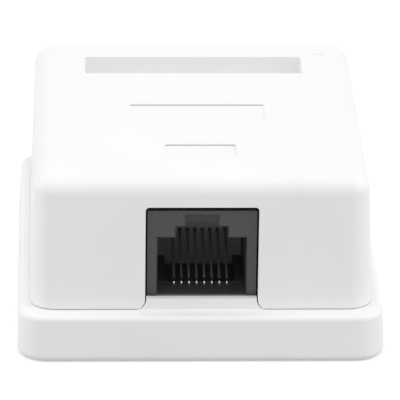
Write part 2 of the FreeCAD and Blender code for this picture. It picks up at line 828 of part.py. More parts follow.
def make_block(side, sign):
    """A wire block: a bar with four slots across it, bevelled teeth between them, and a pocket
    for a terminal at the middle of each slot."""
    body = new_body("wire_block_" + side)
    middle = sign + "block_across"
    half_x = "block_width / 2"
    half_y = "block_length / 2"
    bar = box(body, "bar", around(middle, half_x), around("block_along", half_y),
              ("base_height", "block_top"))

    def top_side(b):
        return level(b, "block_top") and b.XLength < 0.01

    finish_edges(body, "Chamfer", bar, top_side, "block_bevel")
    slot_across = around(middle, f"({half_x} + 1)")
    fork_across = around(middle, "(terminal_thickness / 2 + terminal_clearance)")
    for number in range(1, 5):
        along = slot_row(number)
        box(body, "slot_%d" % number, slot_across, around(along, "block_slot_width / 2"),
            ("block_top - block_slot_depth", "block_top + 1"), True)
        box(body, "pocket_%d" % number, fork_across,
            around(along, "(terminal_width / 2 + terminal_clearance)"),
            ("base_height + terminal_seat", "block_top + 1"), True)
        box(body, "tail_way_%d" % number, fork_across, around(along, HALF_TAIL),
            ("base_height - 1", "base_height + terminal_seat + 1"), True)
    return body


def make_terminal(name, sign, number):
    """A stamped fork: two prongs with a slit that bites the wire, on a tail through the board."""
    body = new_body(name)
    across = sign + "block_across"
    along = slot_row(number)
    seat = "base_height + terminal_seat"
    top = seat + " + terminal_height"
    wide = "terminal_width / 2"
    slit = "terminal_slit / 2"
    tail = "terminal_tail / 2"
    fork = new_sketch(body, "fork_" + name, "YZ_Plane", across)
    outline = [
        (tail, "tail_end"),
        (tail, seat),
        (wide, seat),
        (wide, top),
        (slit + " + terminal_slit", top),
        (slit, top + " - terminal_slit"),
        (slit, top + " - terminal_slit_depth"),
    ]
    stops = [(f"{along} + {y}", z) for y, z in outline]
    stops += [(f"{along} - ({y})", z) for y, z in reversed(outline)]
    trace(fork, stops)
    extrude(body, "Pad", fork, "terminal_thickness", middle=True)
    return body


def make_cap(side, sign):
    """A press-on cap over a wire block, open below, with a notch at each wire's way out and a rib
    that presses each wire down its slot."""
    body = new_body("wire_cap_" + side)
    middle = sign + "block_across"
    inner_x = "(block_width / 2 + cap_clearance)"
    inner_y = "(block_length / 2 + cap_clearance)"
    skirt = "block_top - cap_skirt"
    shell = box(body, "cap_shell", around(middle, f"({inner_x} + cap_wall)"),
                around("block_along", f"({inner_y} + cap_wall)"), (skirt, "cap_top"))
    finish_edges(body, "Fillet", shell, upright, "cap_wall / 2")
    box(body, "cap_hollow", around(middle, inner_x), around("block_along", inner_y),
        (skirt + " - 1", "block_top + cap_clearance"), True)
    notch_across = around(middle, f"({inner_x} + cap_wall + 1)")
    fork_side = "(terminal_thickness / 2 + terminal_clearance + cap_clearance)"
    ribs = (
        ("outer", f"{middle} + {fork_side}", f"{middle} + block_width / 2"),
        ("inner", f"{middle} - block_width / 2", f"{middle} - {fork_side}"),
    )
    for number in range(1, 5):
        along = slot_row(number)
        box(body, "notch_%d" % number, notch_across, around(along, "cap_notch / 2"),
            (skirt + " - 1", f"{skirt} + cap_notch_height"), True)
        for part, low, high in ribs:
            box(body, f"rib_{part}_{number}", (low, high),
                around(along, "(block_slot_width / 2 - cap_clearance)"),
                ("block_top - cap_skirt / 2", "block_top + cap_clearance + cap_wall / 2"))
    return body


def make_screw(side, sign):
    """A pan head self-tapping screw with a cross recess, turned about its axis."""
    body = new_body("board_screw_" + side)
    across = sign + "post_across"
    profile = new_sketch(body, "screw_profile_" + side, "XZ_Plane", "-post_along")
    head_top = "base_height + screw_head_height"
    trace(profile, [
        (across, "base_height - screw_length"),
        (f"{across} + screw_radius", "base_height - screw_length"),
        (f"{across} + screw_radius", "base_height"),
        (f"{across} + screw_head_radius", "base_height"),
        (f"{across} + screw_head_radius", f"{head_top} - screw_recess"),
        (f"{across} + screw_head_radius - screw_recess", head_top),
        (across, head_top),
    ])
    turned = body.newObject("PartDesign::Revolution", "screw_turned_" + side)
    turned.Profile = profile
    turned.ReferenceAxis = (profile, ["Edge1"])
    turned.Angle = 360
    long_half = "screw_recess_length / 2"
    short_half = "screw_recess / 2"
    for name, half_x, half_y in (("across", long_half, short_half), ("along", short_half, long_half)):
        box(body, "cross_" + name, around(across, half_x), around("post_along", half_y),
            (f"{head_top} - screw_recess_depth", f"{head_top} + 1"), True)
    return body


def make_tape():
    """The foam tape in the underside recess, flush with the base's foot."""
    body = new_body("adhesive_pad")
    outline = new_sketch(body, "tape_outline", "XY_Plane")
    trace(outline, rounded("tape_width / 2", "tape_length / 2", "tape_corner", "0", "tape_centre"))
    extrude(body, "Pad", outline, "tape_thickness")
    return body


# ---------------------------------------------------------------- the whole part

pieces = [make_base(), make_cover(), make_jack_housing(), make_carrier(), make_board(), make_tape()]
for wire in range(1, 9):
    pieces.append(make_contact(wire))
terminal = 0
for block_side, block_sign in SIDES:
    pieces.append(make_block(block_side, block_sign))
    pieces.append(make_cap(block_side, block_sign))
    pieces.append(make_screw(block_side, block_sign))
    for slot_number in range(1, 5):
        terminal += 1
        pieces.append(make_terminal("terminal_%d" % terminal, block_sign, slot_number))
doc.recompute()

for item in doc.Objects:
    if "Invalid" in item.State or "Error" in item.State:
        raise RuntimeError(f"{item.Label} did not build: {item.State}")
for piece in pieces:
    if piece.Shape.isNull() or not piece.Shape.isValid() or len(piece.Shape.Solids) != 1:
        raise RuntimeError(f"{piece.Label} has no sound solid")

os.makedirs("parts", exist_ok=True)
for piece in pieces:
    piece.Shape.exportStep(os.path.join("parts", piece.Label + ".step"))
    box_of = piece.Shape.BoundBox
    print(f"{piece.Label}: {piece.Shape.Volume:.2f} mm3, top {box_of.ZMax:.2f}")
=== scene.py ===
import math

import bmesh
import bpy
from mathutils import Matrix, Vector


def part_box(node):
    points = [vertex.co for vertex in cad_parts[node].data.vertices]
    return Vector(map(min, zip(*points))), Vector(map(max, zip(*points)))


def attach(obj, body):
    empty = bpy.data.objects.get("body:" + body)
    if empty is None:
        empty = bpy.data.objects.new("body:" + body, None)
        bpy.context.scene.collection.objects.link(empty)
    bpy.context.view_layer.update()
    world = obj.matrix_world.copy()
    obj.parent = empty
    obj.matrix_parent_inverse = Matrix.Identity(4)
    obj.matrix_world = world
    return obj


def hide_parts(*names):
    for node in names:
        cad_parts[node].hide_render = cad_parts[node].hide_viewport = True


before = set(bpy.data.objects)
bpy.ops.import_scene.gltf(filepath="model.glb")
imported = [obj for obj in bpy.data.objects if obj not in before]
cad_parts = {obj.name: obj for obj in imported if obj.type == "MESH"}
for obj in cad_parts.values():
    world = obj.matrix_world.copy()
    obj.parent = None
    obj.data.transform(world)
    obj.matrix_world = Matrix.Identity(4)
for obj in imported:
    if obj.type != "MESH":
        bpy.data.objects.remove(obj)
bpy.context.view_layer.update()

# ---- Cover and base
# Two injection moulded shells of white ABS that snap together. Their mould was spark eroded, which
# leaves a fine even grain, and the resin's flow leaves very faint clouds of tone.

MM = 0.001


def linear(code):
    """An sRGB hex colour as the linear RGBA that a shader takes."""
    parts = [int(code[at:at + 2], 16) / 255 for at in (0, 2, 4)]
    lit = [p / 12.92 if p <= 0.04045 else ((p + 0.055) / 1.055) ** 2.4 for p in parts]
    return (*lit, 1.0)


def per_mm(size):
    """The scale that gives a pattern on Object coordinates this size in millimetres."""
    return 1 / (size * MM)


def node(tree, kind, inputs=None, **settings):
    """A shader node with its settings; an input takes a value or the socket that feeds it."""
    made = tree.nodes.new("ShaderNode" + kind)
    for name, setting in settings.items():
        setattr(made, name, setting)
    for name, given in (inputs or {}).items():
        if isinstance(given, bpy.types.NodeSocket):
            tree.links.new(given, made.inputs[name])
        else:
            made.inputs[name].default_value = given
    return made


def new_material(name):
    """An empty node material: the material and its tree."""
    made = bpy.data.materials.new(name)
    made.use_nodes = True
    made.node_tree.nodes.clear()
    return made, made.node_tree


def finish_nodes(names, material):
    """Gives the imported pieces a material."""
    for name in names:
        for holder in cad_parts[name].material_slots:
            holder.material = material


# Moulded ABS: a soft satin white, its grain drawn at 0.4 mm, coarser than the real 0.05 mm, so that
# it still breaks the shine a little.
abs_white, tree = new_material("moulded_white_abs")
place = node(tree, "TexCoord").outputs["Object"]
clouds = node(tree, "TexNoise", {"Vector": place, "Scale": per_mm(14.0), "Detail": 2.0})
tone = node(tree, "ValToRGB", {"Fac": clouds.outputs["Fac"]})
tone.color_ramp.elements[0].position = 0.35
tone.color_ramp.elements[0].color = linear("EFF0F1")
tone.color_ramp.elements[1].position = 0.65
tone.color_ramp.elements[1].color = linear("F2F2F3")
grain = node(tree, "TexNoise", {"Vector": place, "Scale": per_mm(0.4), "Detail": 3.0})
gloss = node(tree, "MapRange", {"Value": grain.outputs["Fac"], "To Min": 0.42, "To Max": 0.54})
relief = node(tree, "Bump", {
    "Height": grain.outputs["Fac"],
    "Strength": 0.12,
    "Distance": 0.02 * MM,
})
skin = node(tree, "BsdfPrincipled", {
    "Base Color": tone.outputs["Color"],
    "Roughness": gloss.outputs["Result"],
    "IOR": 1.53,
    "Normal": relief.outputs["Normal"],
})
node(tree, "OutputMaterial", {"Surface": skin.outputs["BSDF"]})
finish_nodes(["cover", "base"], abs_white)

# ---- Mould marks
# The stub that is left where the cover was sheared from its sprue, at the bottom of its dimple, and
# the faint discs that the ejector pins leave in the floor of the base.

merge_distance = 0.0005 * MM
crease_angle = math.radians(35)


def turned(mesh, profile, centre, steps=32):
    """Adds a form turned about an upright axis; the profile is (radius, height) in millimetres."""
    points = [mesh.verts.new(centre + Vector((radius, 0, height)) * MM)
              for radius, height in profile]
    edges = [mesh.edges.new(pair) for pair in zip(points, points[1:])]
    bmesh.ops.spin(
        mesh,
        geom=points + edges,
        cent=centre,
        axis=(0, 0, 1),
        angle=math.tau,
        steps=steps,
        use_merge=True,
    )


def make_object(name, mesh):
    """Closes a mesh's poles, turns its faces outwards and gives it an object of its own."""
    bmesh.ops.remove_doubles(mesh, verts=mesh.verts, dist=merge_distance)
    bmesh.ops.recalc_face_normals(mesh, faces=mesh.faces)
    shape = bpy.data.meshes.new(name)
    mesh.to_mesh(shape)
    mesh.free()
    made = bpy.data.objects.new(name, shape)
    bpy.context.scene.collection.objects.link(made)
    return made


def make_piece(name, mesh, material, body="base_unit"):
    """Makes a mesh a finished piece that rides on a body."""
    piece = make_object(name, mesh)
    piece.data.shade_smooth()
    piece.data.set_sharp_from_angle(angle=crease_angle)
    piece.data.materials.append(material)
    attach(piece, body)
    return piece


cover_low, cover_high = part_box("cover")
dimple_inset = Vector((5.1, 7.0, 0.12)) * MM
stub_profile = [(0, -0.05), (0.42, -0.05), (0.38, 0.03), (0.30, 0.06), (0, 0.07)]
mesh = bmesh.new()
turned(mesh, stub_profile, cover_high - dimple_inset)
make_piece("gate_stub", mesh, abs_white, "cover")

base_floor = 2.0 * MM
pin_profile = [(0, -0.05), (1.5, -0.05), (1.5, 0.05), (1.38, 0.05), (1.3, 0.02), (0, 0.02)]
mesh = bmesh.new()
for across in (-15.5 * MM, 15.5 * MM):
    for along in (-17.5 * MM, 15.5 * MM):
        turned(mesh, pin_profile, Vector((across, along, base_floor)))
make_piece("ejector_marks", mesh, abs_white)

# ---- Painted corner shade
# Thin grey wedges in the sharp rear corners of the two shallow recesses in the cover, as painted
# shade that darkens these corners where shade falls.

# Painted shade: the mottled grey of the corner wedges.
corner_shade, tree = new_material("painted_corner_shade")
place = node(tree, "TexCoord").outputs["Object"]
shade_mottle = node(tree, "TexNoise", {"Vector": place, "Scale": per_mm(1.0), "Detail": 3.0})
tone = node(tree, "ValToRGB", {"Fac": shade_mottle.outputs["Fac"]})
tone.color_ramp.elements[0].color = linear("B9B9B6")
tone.color_ramp.elements[1].color = linear("C9C9C6")
skin = node(tree, "BsdfPrincipled", {"Base Color": tone.outputs["Color"], "Roughness": 0.95})
node(tree, "OutputMaterial", {"Surface": skin.outputs["BSDF"]})

recess_floor = cover_high.z - 0.25 * MM
wide_recess = (9.2 * MM, 1.0 * MM)
narrow_recess = (4.75 * MM, cover_low.y + 12.9 * MM)
shade_spread = Vector((0, -0.10, 0)) * MM
shade_height = Vector((0, 0, 0.14)) * MM
# The wedges of painted shade, one along the rear corner of each recess.
mesh = bmesh.new()
for half_width, rear in (wide_recess, narrow_recess):
    corner = Vector((-half_width, rear, recess_floor))
    ends = (corner, corner + shade_spread, corner + shade_height)
    wedge = mesh.faces.new([mesh.verts.new(end) for end in ends])
    made = bmesh.ops.extrude_face_region(mesh, geom=[wedge])["geom"]
    moved = [part for part in made if isinstance(part, bmesh.types.BMVert)]
    bmesh.ops.translate(mesh, verts=moved, vec=(2 * half_width, 0, 0))
make_piece("recess_painted_shade", mesh, corner_shade, "cover")

# ---- Modular jack
# The jack's shell in black and the insert that holds its wires in charcoal, both moulded in glass
# filled PBT, which looks dark grey rather than black in the light.


def moulded_pbt(name, dark, pale):
    """Glass filled PBT: a satin skin with the faint streaks of its fibres, about 1 mm long. The
    grain of the mould is drawn at 0.25 mm, coarser than the real 0.05 mm, so that it shows."""
    made, tree = new_material(name)
    place = node(tree, "TexCoord").outputs["Object"]
    stretched = node(tree, "Mapping", {"Vector": place, "Scale": (1.0, 1.0, 4.0)})
    streaks = node(tree, "TexNoise", {
        "Vector": stretched.outputs["Vector"],
        "Scale": per_mm(1.2),
        "Detail": 4.0,
    })
    tone = node(tree, "ValToRGB", {"Fac": streaks.outputs["Fac"]})
    tone.color_ramp.elements[0].position = 0.3
    tone.color_ramp.elements[0].color = linear(dark)
    tone.color_ramp.elements[1].position = 0.7
    tone.color_ramp.elements[1].color = linear(pale)
    grain = node(tree, "TexNoise", {"Vector": place, "Scale": per_mm(0.25), "Detail": 2.0})
    gloss = node(tree, "MapRange", {"Value": grain.outputs["Fac"], "To Min": 0.38, "To Max": 0.52})
    relief = node(tree, "Bump", {
        "Height": grain.outputs["Fac"],
        "Strength": 0.15,
        "Distance": 0.02 * MM,
    })
    skin = node(tree, "BsdfPrincipled", {
        "Base Color": tone.outputs["Color"],
        "Roughness": gloss.outputs["Result"],
        "IOR": 1.55,
        "Normal": relief.outputs["Normal"],
    })
    node(tree, "OutputMaterial", {"Surface": skin.outputs["BSDF"]})
    return made


finish_nodes(["jack_housing"], moulded_pbt("moulded_black_pbt", "373538", "3F3D41"))
finish_nodes(["contact_carrier"], moulded_pbt("moulded_charcoal_pbt", "7A767A", "848084"))

# ---- Contacts
# Eight flat spring wires of phosphor bronze, drawn and rolled, which leaves fine lines along them.
# Bright hard gold covers only the bend that a plug touches; the rest is dull, bare bronze.

# The drawn lines stand 0.12 mm apart here, coarser than the real ones, so that they show.
gold, tree = new_material("gold_plated_bronze")
place = node(tree, "TexCoord").outputs["Object"]
drawn = node(tree, "Mapping", {"Vector": place, "Scale": (12.0, 1.0, 1.0)})
lines = node(tree, "TexNoise", {
    "Vector": drawn.outputs["Vector"],
    "Scale": per_mm(1.5),
    "Detail": 2.0,
})
tone = node(tree, "ValToRGB", {"Fac": lines.outputs["Fac"]})
tone.color_ramp.elements[0].color = linear("E6DECB")
tone.color_ramp.elements[1].color = linear("EFE9DB")
gloss = node(tree, "MapRange", {"Value": lines.outputs["Fac"], "To Min": 0.18, "To Max": 0.28})

# The plug touches the crown of the bend: gold starts just under it and fades out just behind it.
bend_depth = 0.5 * MM
bend_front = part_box("contact_1")[0].y
bend_top = max(vert.co.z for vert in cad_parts["contact_1"].data.vertices
               if vert.co.y < bend_front + bend_depth)
gold_rear = bend_front + 0.7 * MM
gold_foot = bend_top - 0.20 * MM
fade_back, fade_down = 0.40 * MM, 0.12 * MM
spot = node(tree, "SeparateXYZ", {"Vector": place})
behind = node(tree, "MapRange", {
    "Value": spot.outputs["Y"],
    "From Min": gold_rear,
    "From Max": gold_rear + fade_back,
})
below = node(tree, "MapRange", {
    "Value": spot.outputs["Z"],
    "From Min": gold_foot - fade_down,
    "From Max": gold_foot,
    "To Min": 1.0,
    "To Max": 0.0,
})
bare = node(tree, "Math", {
    0: behind.outputs["Result"],
    1: below.outputs["Result"],
}, operation="MAXIMUM")
shade = node(tree, "MixRGB", {
    "Fac": bare.outputs["Value"],
    "Color1": tone.outputs["Color"],
    "Color2": linear("8E8980"),
})
dulled = node(tree, "Math", {
    0: bare.outputs["Value"],
    1: 0.42,
    2: gloss.outputs["Result"],
}, operation="MULTIPLY_ADD")
skin = node(tree, "BsdfPrincipled", {
    "Base Color": shade.outputs["Color"],
    "Metallic": 1.0,
    "Roughness": dulled.outputs["Value"],
})
node(tree, "OutputMaterial", {"Surface": skin.outputs["BSDF"]})

flat_angle = math.radians(1)
corner_angle = math.radians(60)
edge_round = 0.12 * MM
for wire in range(1, 9):
    mesh = bmesh.new()
    mesh.from_mesh(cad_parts[f"contact_{wire}"].data)
    bmesh.ops.remove_doubles(mesh, verts=mesh.verts, dist=merge_distance)
    bmesh.ops.dissolve_limit(mesh, angle_limit=flat_angle, verts=mesh.verts, edges=mesh.edges)
    sharp = [edge for edge in mesh.edges if edge.calc_face_angle(0) > corner_angle]
    bmesh.ops.bevel(
        mesh,
        geom=sharp,
        offset=edge_round,
        affect="EDGES",
        segments=3,
        profile=0.5,
        material=-1,
    )
    spring = make_piece(f"spring_wire_{wire}", mesh, gold)
    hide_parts(f"contact_{wire}")

# ---- Circuit board
# A 1.6 mm glass epoxy laminate with green solder mask. The weave of the cloth shows faintly through
# the mask as a 0.5 mm check, and the mask is as glossy as lacquer.

# A wave texture at scale 1 repeats every tau / 20 units.
yarn_spacing = per_mm(0.5) * math.tau / 20

laminate, tree = new_material("masked_glass_epoxy")
place = node(tree, "TexCoord").outputs["Object"]
warp = node(tree, "TexWave", {
    "Vector": place,
    "Scale": yarn_spacing,
    "Distortion": 0.4,
}, wave_type="BANDS", bands_direction="X")
weft = node(tree, "TexWave", {
    "Vector": place,
    "Scale": yarn_spacing,
    "Distortion": 0.4,
}, wave_type="BANDS", bands_direction="Y")
weave = node(tree, "Math", {0: warp.outputs["Fac"], 1: weft.outputs["Fac"]}, operation="MULTIPLY")
tone = node(tree, "ValToRGB", {"Fac": weave.outputs["Value"]})
tone.color_ramp.elements[0].color = linear("1E6B41")
tone.color_ramp.elements[1].color = linear("2A7A4B")
relief = node(tree, "Bump", {
    "Height": weave.outputs["Value"],
    "Strength": 0.2,
    "Distance": 0.02 * MM,
})
skin = node(tree, "BsdfPrincipled", {
    "Base Color": tone.outputs["Color"],
    "Roughness": 0.28,
    "IOR": 1.5,
    "Coat Weight": 0.4,
    "Coat Roughness": 0.12,
    "Normal": relief.outputs["Normal"],
})
node(tree, "OutputMaterial", {"Surface": skin.outputs["BSDF"]})
finish_nodes(["circuit_board"], laminate)

# ---- Tracks
# Eight etched copper tracks under the mask, 0.5 mm wide, which fan out from the back of the jack to
# the wire blocks. Where the mask lies over copper it looks paler and more yellow.

masked_copper, tree = new_material("masked_copper")
place = node(tree, "TexCoord").outputs["Object"]
etch = node(tree, "TexNoise", {"Vector": place, "Scale": per_mm(0.6), "Detail": 3.0})
tone = node(tree, "ValToRGB", {"Fac": etch.outputs["Fac"]})
tone.color_ramp.elements[0].color = linear("37804B")
tone.color_ramp.elements[1].color = linear("489659")
skin = node(tree, "BsdfPrincipled", {
    "Base Color": tone.outputs["Color"],
    "Roughness": 0.26,
    "IOR": 1.5,
    "Coat Weight": 0.4,
    "Coat Roughness": 0.12,
})
node(tree, "OutputMaterial", {"Surface": skin.outputs["BSDF"]})

board_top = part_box("circuit_board")[1].z / MM
track_width = 0.5
copper_thickness = 0.06


def add_track(mesh, route):
    """Adds a flat track with mitred corners through points on top of the board, in mm."""
    points = [Vector((across, along, board_top)) for across, along in route]
    runs = [(after - before).normalized() for before, after in zip(points, points[1:])]
    faces = []
    for point, into, out in zip(points, runs[:1] + runs, runs + runs[-1:]):
        heading = (into + out).normalized()
        side = Vector((-heading.y, heading.x, 0)) * (track_width / 2 / heading.dot(into))
        banks = [(point + side) * MM, (point - side) * MM]
        if point == points[0]:
            edge = mesh.edges.new([mesh.verts.new(bank) for bank in banks])
            continue
        made = bmesh.ops.extrude_edge_only(mesh, edges=[edge])["geom"]
        ends = [part for part in made if isinstance(part, bmesh.types.BMVert)]
        ends.sort(key=lambda vert: (vert.co - point * MM).dot(side), reverse=True)
        for vert, bank in zip(ends, banks):
            vert.co = bank
        edge = next(part for part in made if isinstance(part, bmesh.types.BMEdge))
        faces += [part for part in made if isinstance(part, bmesh.types.BMFace)]
    for face in faces:
        face.normal_update()
        if face.normal.z < 0:
            face.normal_flip()
    bmesh.ops.solidify(mesh, geom=faces, thickness=-copper_thickness * MM)


def middle_of(name):
    """The middle of a node's box, in mm."""
    low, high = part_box(name)
    return (low + high) / 2 / MM


# Wires 1 to 4 go left and wires 5 to 8 go right, in the order that keeps the tracks from crossing.
# A track starts under the jack and has its second bend under the edge of a block.
under_jack, under_block = 1.0, 0.6
start_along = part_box("jack_housing")[1].y / MM - under_jack
block_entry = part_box("wire_block_right")[0].x / MM + under_block
mesh = bmesh.new()
for wire in range(1, 9):
    start = middle_of(f"contact_{wire}").x
    side, number = (-1, wire) if wire < 5 else (1, 13 - wire)
    terminal = middle_of(f"terminal_{number}")
    entry = side * block_entry
    bend = terminal.y - abs(entry - start)
    add_track(mesh, [
        (start, start_along),
        (start, bend),
        (entry, terminal.y),
        (terminal.x, terminal.y),
    ])
make_piece("copper_tracks", mesh, masked_copper)

# ---- Printed outlines
# Thin outlines in white epoxy ink that show where the wire blocks go on the board. They are screen
# printed, so a little uneven in tone.

ink, tree = new_material("screen_printed_ink")
place = node(tree, "TexCoord").outputs["Object"]
specks = node(tree, "TexNoise", {"Vector": place, "Scale": per_mm(0.3), "Detail": 3.0})
tone = node(tree, "ValToRGB", {"Fac": specks.outputs["Fac"]})
tone.color_ramp.elements[0].color = linear("D2DAD2")
tone.color_ramp.elements[1].color = linear("EEF0EA")
skin = node(tree, "BsdfPrincipled", {"Base Color": tone.outputs["Color"], "Roughness": 0.6})
node(tree, "OutputMaterial", {"Surface": skin.outputs["BSDF"]})

margin = 0.5
line_width = 0.2 * MM
ink_thickness = 0.08 * MM
mesh = bmesh.new()
for name in ("wire_block_left", "wire_block_right"):
    low, high = (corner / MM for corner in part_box(name))
    middle = Vector(((low.x + high.x) / 2, (low.y + high.y) / 2, board_top))
    size = (high.x - low.x + 2 * margin, high.y - low.y + 2 * margin, 1.0, 1.0)
    pose = Matrix.Scale(MM, 4) @ Matrix.Translation(middle) @ Matrix.Diagonal(size)
    grid = bmesh.ops.create_grid(mesh, x_segments=1, y_segments=1, size=0.5, matrix=pose)
    field = grid["verts"][0].link_faces[0]
    border = bmesh.ops.inset_individual(
        mesh,
        faces=[field],
        thickness=line_width,
        use_even_offset=True,
    )["faces"]
    bmesh.ops.delete(mesh, geom=[field], context="FACES_ONLY")
    bmesh.ops.solidify(mesh, geom=border, thickness=-ink_thickness)
make_piece("printed_outlines", mesh, ink)

# ---- Wire blocks
# Bars of light grey polycarbonate that guide each wire into its terminal. Moulded with a polished
# mould, so they are a little glossier than the shells.

block_grey, tree = new_material("moulded_grey_polycarbonate")
place = node(tree, "TexCoord").outputs["Object"]
clouds = node(tree, "TexNoise", {"Vector": place, "Scale": per_mm(5.0), "Detail": 3.0})
tone = node(tree, "ValToRGB", {"Fac": clouds.outputs["Fac"]})
tone.color_ramp.elements[0].color = linear("CFCFCB")
tone.color_ramp.elements[1].color = linear("DADAD6")
skin = node(tree, "BsdfPrincipled", {
    "Base Color": tone.outputs["Color"],
    "Roughness": 0.32,
    "IOR": 1.58,
})
node(tree, "OutputMaterial", {"Surface": skin.outputs["BSDF"]})
finish_nodes(["wire_block_left", "wire_block_right"], block_grey)

# ---- Terminals
# Forked terminals stamped from bronze strip and tin plated: a soft white metal with the faint
# mottle of bright tin.

tin, tree = new_material("tin_plated_bronze")
place = node(tree, "TexCoord").outputs["Object"]
mottle = node(tree, "TexVoronoi", {"Vector": place, "Scale": per_mm(0.5)})
tone = node(tree, "ValToRGB", {"Fac": mottle.outputs["Distance"]})
tone.color_ramp.elements[0].color = linear("DAD8D2")
tone.color_ramp.elements[1].color = linear("C6C4BE")
gloss = node(tree, "MapRange", {
    "Value": mottle.outputs["Distance"],
    "To Min": 0.22,
    "To Max": 0.38,
})
skin = node(tree, "BsdfPrincipled", {
    "Base Color": tone.outputs["Color"],
    "Metallic": 1.0,
    "Roughness": gloss.outputs["Result"],
})
node(tree, "OutputMaterial", {"Surface": skin.outputs["BSDF"]})
finish_nodes([f"terminal_{number}" for number in range(1, 9)], tin)

# ---- Caps
# Press-on caps over the wire blocks, moulded in natural polycarbonate: milky and slightly see
# through, with a polished skin.

cap_milky, tree = new_material("moulded_natural_polycarbonate")
place = node(tree, "TexCoord").outputs["Object"]
haze = node(tree, "TexNoise", {"Vector": place, "Scale": per_mm(4.0), "Detail": 3.0})
tone = node(tree, "ValToRGB", {"Fac": haze.outputs["Fac"]})
tone.color_ramp.elements[0].color = linear("E6E7E6")
tone.color_ramp.elements[1].color = linear("F0F1F0")
gloss = node(tree, "MapRange", {"Value": haze.outputs["Fac"], "To Min": 0.20, "To Max": 0.32})
skin = node(tree, "BsdfPrincipled", {
    "Base Color": tone.outputs["Color"],
    "Roughness": gloss.outputs["Result"],
    "IOR": 1.58,
    "Transmission Weight": 0.35,
})
node(tree, "OutputMaterial", {"Surface": skin.outputs["BSDF"]})
finish_nodes(["wire_cap_left", "wire_cap_right"], cap_milky)

# ---- Board screws
# Self-tapping pan head screws that hold the board on the base's posts. Steel, with a pressed head
# and a rolled thread, then bright zinc plated: a cool metal, a little cloudy in places.

zinc, tree = new_material("zinc_plated_steel")
place = node(tree, "TexCoord").outputs["Object"]
patches = node(tree, "TexNoise", {"Vector": place, "Scale": per_mm(0.8), "Detail": 3.0})
tone = node(tree, "ValToRGB", {"Fac": patches.outputs["Fac"]})
tone.color_ramp.elements[0].color = linear("BCC1C6")
tone.color_ramp.elements[1].color = linear("D2D5D8")
gloss = node(tree, "MapRange", {"Value": patches.outputs["Fac"], "To Min": 0.22, "To Max": 0.40})
skin = node(tree, "BsdfPrincipled", {
    "Base Color": tone.outputs["Color"],
    "Metallic": 1.0,
    "Roughness": gloss.outputs["Result"],
})
node(tree, "OutputMaterial", {"Surface": skin.outputs["BSDF"]})


def add_wing(mesh, centre, turn):
    """Adds one bar of the cross shaped punch, whose sides taper to its tip; all in mm."""
    made = bmesh.ops.create_cube(mesh, size=1.0)["verts"]
    bmesh.ops.scale(mesh, vec=wing_size, verts=made)
    tip = [vert for vert in made if vert.co.z < 0]
    bmesh.ops.scale(mesh, vec=wing_taper, verts=tip)
    pose = Matrix.Translation(centre) @ Matrix.Rotation(turn, 4, "Z")
    bmesh.ops.transform(mesh, matrix=Matrix.Scale(MM, 4) @ pose, verts=made)


# Sizes in mm, with heights from the screw's point upwards.
point_radius, point_length, shank_radius = 0.3, 0.7, 0.72
head_bevel, rim_height = 0.1, 0.35
wing_size, wing_taper, wing_turn = (2.3, 0.46, 1.8), (0.4, 0.55, 1.0), 0.35
thread_section = ((0.66, 0.35), (0.95, 0.55), (0.66, 0.75))
thread_pitch, thread_turns, thread_steps = 0.8, 3.2, 96

for side in ("left", "right"):
    low, high = (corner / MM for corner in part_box(f"board_screw_{side}"))
    axis = (low + high) / 2
    foot = Vector((axis.x, axis.y, low.z)) * MM
    head = (high.x - low.x) / 2
    top = high.z - low.z
    seat = board_top - low.z
    rim = seat + rim_height
    crown = [(head * math.cos(slope), rim + (top - rim) * math.sin(slope))
             for slope in (math.radians(step * 15) for step in range(6))]
    shank = [(0, 0), (point_radius, 0), (shank_radius, point_length), (shank_radius, seat)]
    mesh = bmesh.new()
    turned(mesh, [
        *shank,
        (head - head_bevel, seat),
        (head, seat + head_bevel),
        *crown,
        (0, top),
    ], foot, steps=48)
    blank = make_object("screw_blank", mesh)

    mesh = bmesh.new()
    for turn in (wing_turn, wing_turn + math.pi / 2):
        add_wing(mesh, Vector((axis.x, axis.y, high.z)), turn)
    punch = make_object("cross_punch", mesh)

    cut = blank.modifiers.new("cross_recess", "BOOLEAN")
    cut.object = punch
    cut.operation = "DIFFERENCE"
    cut.solver = "EXACT"
    cut.use_self = True
    formed = blank.evaluated_get(bpy.context.evaluated_depsgraph_get())
    mesh = bmesh.new()
    mesh.from_mesh(formed.to_mesh())
    formed.to_mesh_clear()
    for helper in (blank, punch):
        bpy.data.objects.remove(helper)

    thread = [mesh.verts.new(foot + Vector((radius, 0, height)) * MM)
              for radius, height in thread_section]
    edges = [mesh.edges.new(pair) for pair in zip(thread, thread[1:] + thread[:1])]
    bmesh.ops.spin(
        mesh,
        geom=[*thread, *edges, mesh.faces.new(thread)],
        cent=foot,
        axis=(0, 0, 1),
        dvec=(0, 0, thread_pitch * MM * thread_turns / thread_steps),
        angle=math.tau * thread_turns,
        steps=thread_steps,
    )
    screw = make_piece(f"pan_head_screw_{side}", mesh, zinc)
    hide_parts(f"board_screw_{side}")

# ---- Solder joints
# Tin solder drawn up around each tail under the board by the wave it passed over: bright, smooth
# and hollow sided.

solder, tree = new_material("reflowed_tin_solder")
place = node(tree, "TexCoord").outputs["Object"]
frost = node(tree, "TexNoise", {"Vector": place, "Scale": per_mm(0.5), "Detail": 3.0})
tone = node(tree, "ValToRGB", {"Fac": frost.outputs["Fac"]})
tone.color_ramp.elements[0].color = linear("CDCFD0")
tone.color_ramp.elements[1].color = linear("E2E3E2")
gloss = node(tree, "MapRange", {"Value": frost.outputs["Fac"], "To Min": 0.12, "To Max": 0.30})
skin = node(tree, "BsdfPrincipled", {
    "Base Color": tone.outputs["Color"],
    "Metallic": 1.0,
    "Roughness": gloss.outputs["Result"],
})
node(tree, "OutputMaterial", {"Surface": skin.outputs["BSDF"]})

board_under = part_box("circuit_board")[0].z / MM
fillet_length, fillet_hollow = 0.82, 2.2
wire_half, wire_pad, wire_tail = 0.15, 0.62, 0.24
post_pad, post_tail = 0.95, 0.4


